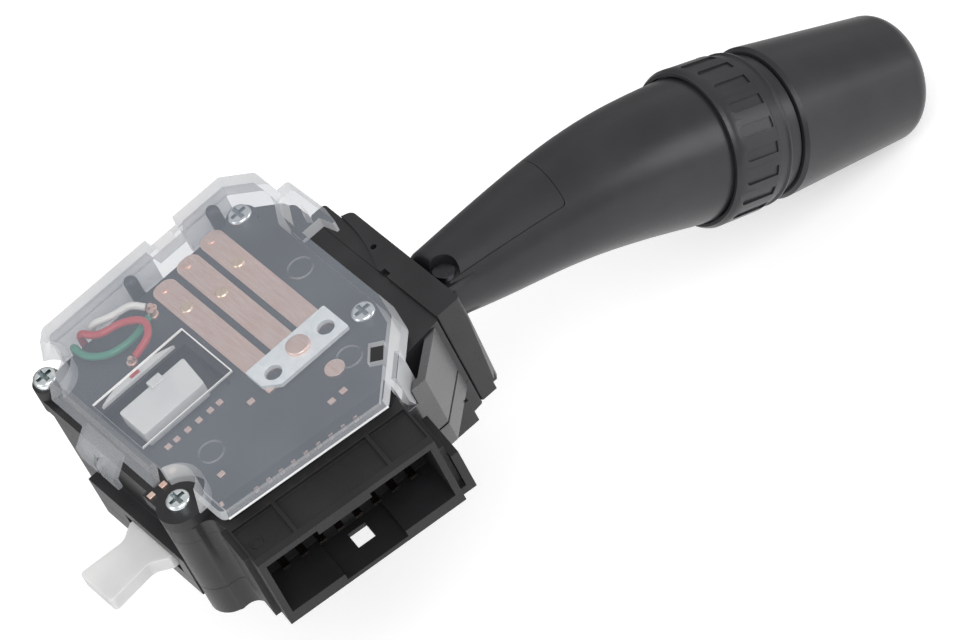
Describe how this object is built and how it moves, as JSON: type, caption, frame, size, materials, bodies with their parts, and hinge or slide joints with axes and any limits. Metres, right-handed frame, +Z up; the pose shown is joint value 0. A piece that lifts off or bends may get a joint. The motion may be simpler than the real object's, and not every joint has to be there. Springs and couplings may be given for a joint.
{
  "type": "combination stalk switch",
  "caption": "Column stalk switch with a turning and pulling lever, ribbed ring, end knob, clear contact cover, cancelling finger and connector socket",
  "frame": {"origin": "on the lever's turn axis, at the flat outer face of the bottom cover", "axes": "+X runs out along the lever, +Z points up out of the clear cover, -Y points out of the connector side"},
  "size_m": [0.2229, 0.0927, 0.0909],
  "materials": {
    "black_case": "moulded black glass-filled polyamide, fine matt grain",
    "lever_black": "satin black moulded ABS",
    "cover_clear": "translucent natural polypropylene",
    "white_plastic": "natural white acetal",
    "copper": "stamped copper alloy strip",
    "tinned": "tin-plated copper alloy blades",
    "zinc_screw": "zinc-plated steel",
    "steel": "drawn steel",
    "black_screw": "black-oxide steel",
    "wire_green": "PVC insulation",
    "wire_red": "PVC insulation",
    "wire_white": "PVC insulation"
  },
  "bodies": {
    "housing": {"bottom_cover": "black_case", "main_housing": "black_case", "middle_frame": "black_case", "contact_plate": "black_case", "column_flange": "black_case", "side_guides": "black_case", "connector_shroud": "black_case", "connector_pins": "tinned", "clear_cover": "cover_clear", "case_screws": "zinc_screw", "plate_screws": "zinc_screw", "clamp_plate": "zinc_screw", "clamp_rivet": "copper", "contact_pads": "copper", "feed_strip": "copper", "curved_strip": "white_plastic", "detent_cam": "white_plastic", "lead_green": "wire_green", "lead_red": "wire_red", "lead_white": "wire_white", "solder_joints": "copper", "leaf_contact_1": "copper", "leaf_contact_2": "copper", "leaf_contact_3": "copper"},
    "turn_carrier": {"turn_carrier": "black_case", "tilt_pin": "steel", "turn_spring": "steel"},
    "turn_plunger": {"turn_plunger": "white_plastic"},
    "lever": {"lever_body": "lever_black", "lever_patch": "lever_black", "neck_screw": "black_screw", "index_band": "lever_black"},
    "fog_ring": {"fog_ring": "lever_black"},
    "end_knob": {"end_knob": "lever_black"},
    "cancel_finger": {"cancel_finger": "white_plastic"},
    "slider_block": {"slider_block": "white_plastic"}
  },
  "joints": [
    {"name": "indicator_turn", "type": "hinge", "parent": "housing", "child": "turn_carrier", "pos_m": [0, 0, 0], "axis": [0, 0, 1], "range_deg": [-7, 7]},
    {"name": "lever_pull", "type": "hinge", "parent": "turn_carrier", "child": "lever", "pos_m": [0.02, 0, 0.017], "axis": [0, 1, 0], "range_deg": [0, 5], "stiffness_Nm_per_rad": 2, "springref_deg": -14.32},
    {"name": "fog_ring_turn", "type": "hinge", "parent": "lever", "child": "fog_ring", "pos_m": [0.10841, 0.00644, -0.01314], "axis": [0.8748, 0.052, -0.4818], "range_deg": [-20, 20], "stiffness_Nm_per_rad": 0.05},
    {"name": "light_knob_turn", "type": "hinge", "parent": "lever", "child": "end_knob", "pos_m": [0.10841, 0.00644, -0.01314], "axis": [0.8748, 0.052, -0.4818], "range_deg": [0, 60]},
    {"name": "cancel_finger_swing", "type": "hinge", "parent": "housing", "child": "cancel_finger", "pos_m": [-0.031, 0, 0.0108], "axis": [0, 0, 1], "range_deg": [-10, 10], "stiffness_Nm_per_rad": 0.03},
    {"name": "slider_travel", "type": "slide", "parent": "housing", "child": "slider_block", "axis": [0, 1, 0], "range_m": [-0.0026, 0.0026]},
    {"name": "plunger_travel", "type": "slide", "parent": "turn_carrier", "child": "turn_plunger", "axis": [0, -1, 0], "range_m": [0, 0.001], "stiffness_N_per_m": 400, "springref_m": -0.005}
  ],
  "couplings": [
    {"joint": "slider_travel", "follows": "indicator_turn", "m_per_rad": -0.02}
  ]
}
